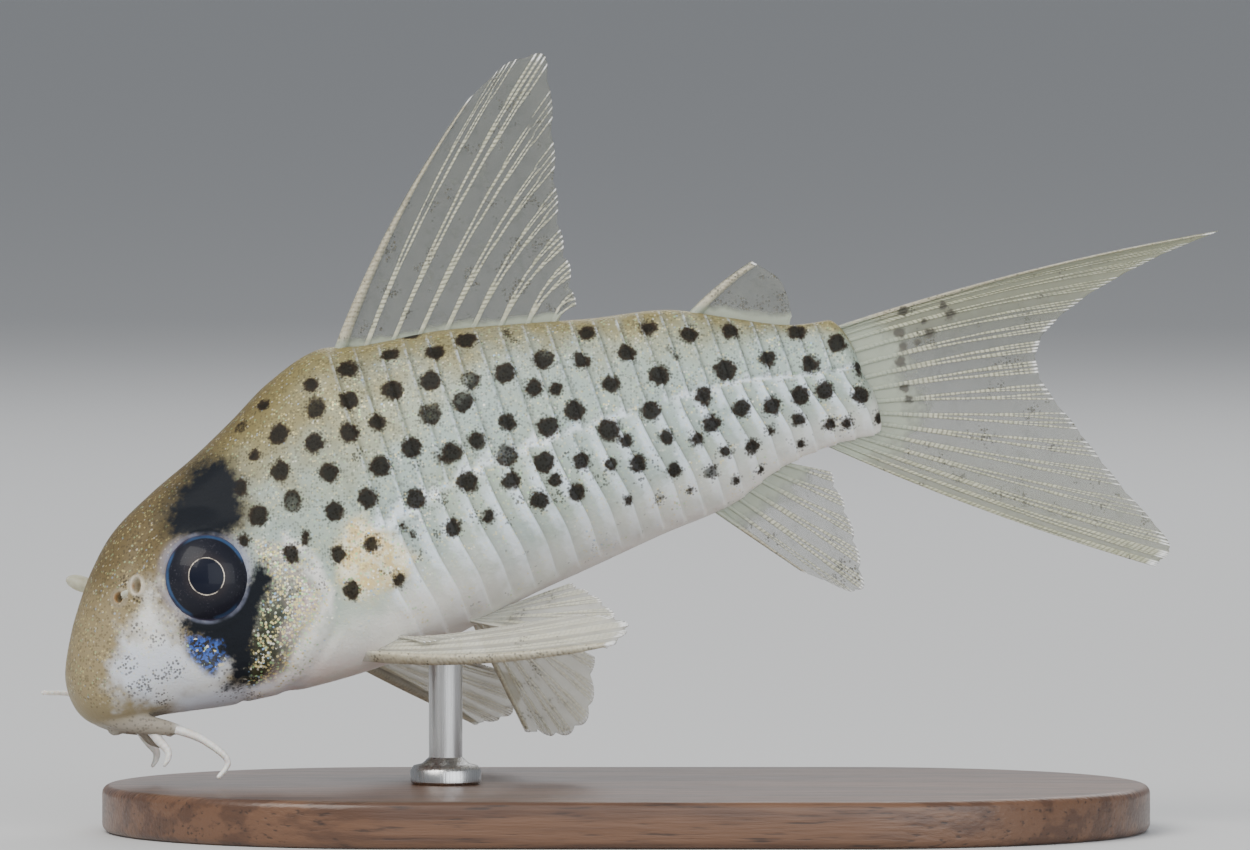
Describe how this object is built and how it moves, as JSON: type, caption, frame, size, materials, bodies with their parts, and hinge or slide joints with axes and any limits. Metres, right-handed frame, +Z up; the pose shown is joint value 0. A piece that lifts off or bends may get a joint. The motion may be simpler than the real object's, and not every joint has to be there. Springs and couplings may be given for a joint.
{
  "type": "corydoras catfish",
  "caption": "Life-size still model of a spotted, mask-eyed corydoras catfish, nose down as when it feeds, held by a short rod over a flat round-ended base.",
  "frame": {"origin": "middle of the stand's flat underside, which rests on the floor", "axes": "+Z up; +X from the fish's head towards its tail, along the stand; +Y towards the fish's right side"},
  "size_m": [0.0629, 0.032, 0.0415],
  "materials": {
    "head_skin": "smooth, slightly wet, golden brown above, silvery white on the cheek, with a black mask through the eye",
    "flank_skin": "satin bony plates, pale silver green with a blue sheen and round black spots",
    "fin_membrane": "clear grey web between pale, jointed rays",
    "barbel_skin": "smooth, pale cream skin",
    "eye": "polished and dark, with a thin silver ring round the pupil",
    "stand_wood": "dark stained, satin varnish",
    "stand_steel": "brushed"
  },
  "bodies": {
    "root": {"head": "head_skin", "trunk": "flank_skin", "tail": "flank_skin", "lower_lip": "barbel_skin", "eye_left": "eye", "eye_right": "eye", "dorsal_fin": "fin_membrane", "adipose_fin": "fin_membrane", "anal_fin": "fin_membrane", "caudal_fin": "fin_membrane", "pectoral_fin_left": "fin_membrane", "pectoral_fin_right": "fin_membrane", "pelvic_fin_left": "fin_membrane", "pelvic_fin_right": "fin_membrane", "long_barbel_left": "barbel_skin", "long_barbel_right": "barbel_skin", "short_barbel_left": "barbel_skin", "short_barbel_right": "barbel_skin", "stand_base": "stand_wood", "stand_rod": "stand_steel"}
  },
  "joints": []
}
